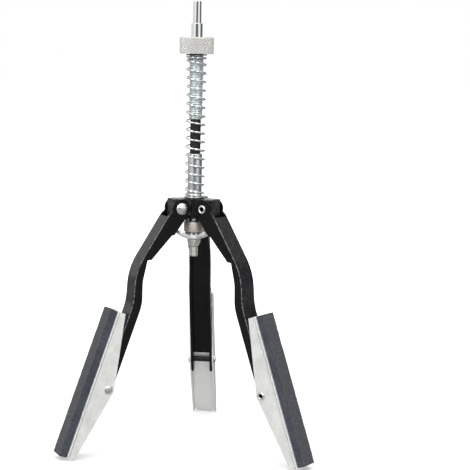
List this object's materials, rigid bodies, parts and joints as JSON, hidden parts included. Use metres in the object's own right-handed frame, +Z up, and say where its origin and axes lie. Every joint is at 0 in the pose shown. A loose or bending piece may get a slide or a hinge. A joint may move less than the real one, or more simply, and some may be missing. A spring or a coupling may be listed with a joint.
{
  "type": "three-legged cylinder hone",
  "caption": "Cylinder hone: a drill shank with flexible shaft, a spring set by a knurled nut, a lugged hub, and hinged black legs that carry long abrasive stones on tilting shoes.",
  "frame": {"origin": "centre of the drive shank's top face", "axes": "+Z up along the shaft, out of the shank's end; +Y through leg 1; +X to the right of it, seen from -Y"},
  "size_m": [0.173, 0.1498, 0.3],
  "materials": {
    "polished_steel": "polished",
    "zinc_plate": "bright zinc plate",
    "satin_steel": "satin, diamond knurled",
    "bright_rivet": "bright",
    "grey_steel": "satin",
    "sintered_bronze": "satin",
    "black_paint": "semi-gloss",
    "black_flexible_shaft": "satin black wound wire",
    "matt_zinc": "matt zinc plate",
    "abrasive_stone": "matt, grainy",
    "backing_plate": "zinc plate"
  },
  "bodies": {
    "hub": {"hub": "black_paint", "hub_pin_1": "bright_rivet", "hub_pin_2": "bright_rivet", "hub_pin_3": "bright_rivet", "tension_spring": "polished_steel", "spring_seat": "zinc_plate"},
    "shaft": {"drive_shank": "polished_steel", "threaded_sleeve": "zinc_plate", "flexible_shaft": "black_flexible_shaft", "lower_sleeve": "zinc_plate", "bush_collar": "sintered_bronze", "tooth_washer": "zinc_plate", "expander_plate": "zinc_plate", "cone_nut": "grey_steel", "hex_end": "grey_steel"},
    "cap": {"spring_cap": "satin_steel"},
    "nut": {"adjusting_nut": "satin_steel"},
    "leg_1": {"arm_1": "black_paint"},
    "shoe_1": {"stone_shoe_1": "matt_zinc", "shoe_pin_1": "bright_rivet", "stone_backing_1": "backing_plate", "stone_1": "abrasive_stone"},
    "leg_2": {"arm_2": "black_paint"},
    "shoe_2": {"stone_shoe_2": "matt_zinc", "shoe_pin_2": "bright_rivet", "stone_backing_2": "backing_plate", "stone_2": "abrasive_stone"},
    "leg_3": {"arm_3": "black_paint"},
    "shoe_3": {"stone_shoe_3": "matt_zinc", "shoe_pin_3": "bright_rivet", "stone_backing_3": "backing_plate", "stone_3": "abrasive_stone"}
  },
  "joints": [
    {"name": "leg_1_hinge", "type": "hinge", "parent": "hub", "child": "leg_1", "pos_m": [0, 0.0123, -0.1365], "axis": [-1, 0, 0], "range_deg": [0, 20]},
    {"name": "leg_2_hinge", "type": "hinge", "parent": "hub", "child": "leg_2", "pos_m": [-0.01065, -0.00615, -0.1365], "axis": [0.5, -0.866, 0], "range_deg": [0, 20]},
    {"name": "leg_3_hinge", "type": "hinge", "parent": "hub", "child": "leg_3", "pos_m": [0.01065, -0.00615, -0.1365], "axis": [0.5, 0.866, 0], "range_deg": [0, 20]},
    {"name": "shaft_slide", "type": "slide", "parent": "hub", "child": "shaft", "axis": [0, 0, -1], "range_m": [0, 0.005], "stiffness_N_per_m": 790, "springref_m": -0.01, "deforming": ["tension_spring"]},
    {"name": "nut_travel", "type": "slide", "parent": "shaft", "child": "cap", "axis": [0, 0, -1], "range_m": [0, 0.03], "deforming": ["tension_spring"]},
    {"name": "nut_spin", "type": "hinge", "parent": "cap", "child": "nut", "pos_m": [0, 0, -0.0289], "axis": [0, 0, -1], "range_deg": [0, 7200]},
    {"name": "shoe_1_hinge", "type": "hinge", "parent": "leg_1", "child": "shoe_1", "pos_m": [0, 0.0633, -0.2545], "axis": [-1, 0, 0], "range_deg": [0, 20]},
    {"name": "shoe_2_hinge", "type": "hinge", "parent": "leg_2", "child": "shoe_2", "pos_m": [-0.05482, -0.03165, -0.2545], "axis": [0.5, -0.866, 0], "range_deg": [0, 20]},
    {"name": "shoe_3_hinge", "type": "hinge", "parent": "leg_3", "child": "shoe_3", "pos_m": [0.05482, -0.03165, -0.2545], "axis": [0.5, 0.866, 0], "range_deg": [0, 20]}
  ],
  "couplings": [
    {"joint": "leg_2_hinge", "follows": "leg_1_hinge", "ratio": 1},
    {"joint": "leg_3_hinge", "follows": "leg_1_hinge", "ratio": 1},
    {"joint": "shaft_slide", "follows": "leg_1_hinge", "m_per_rad": 0.014324},
    {"joint": "nut_spin", "follows": "nut_travel", "rad_per_m": 4188.8}
  ]
}
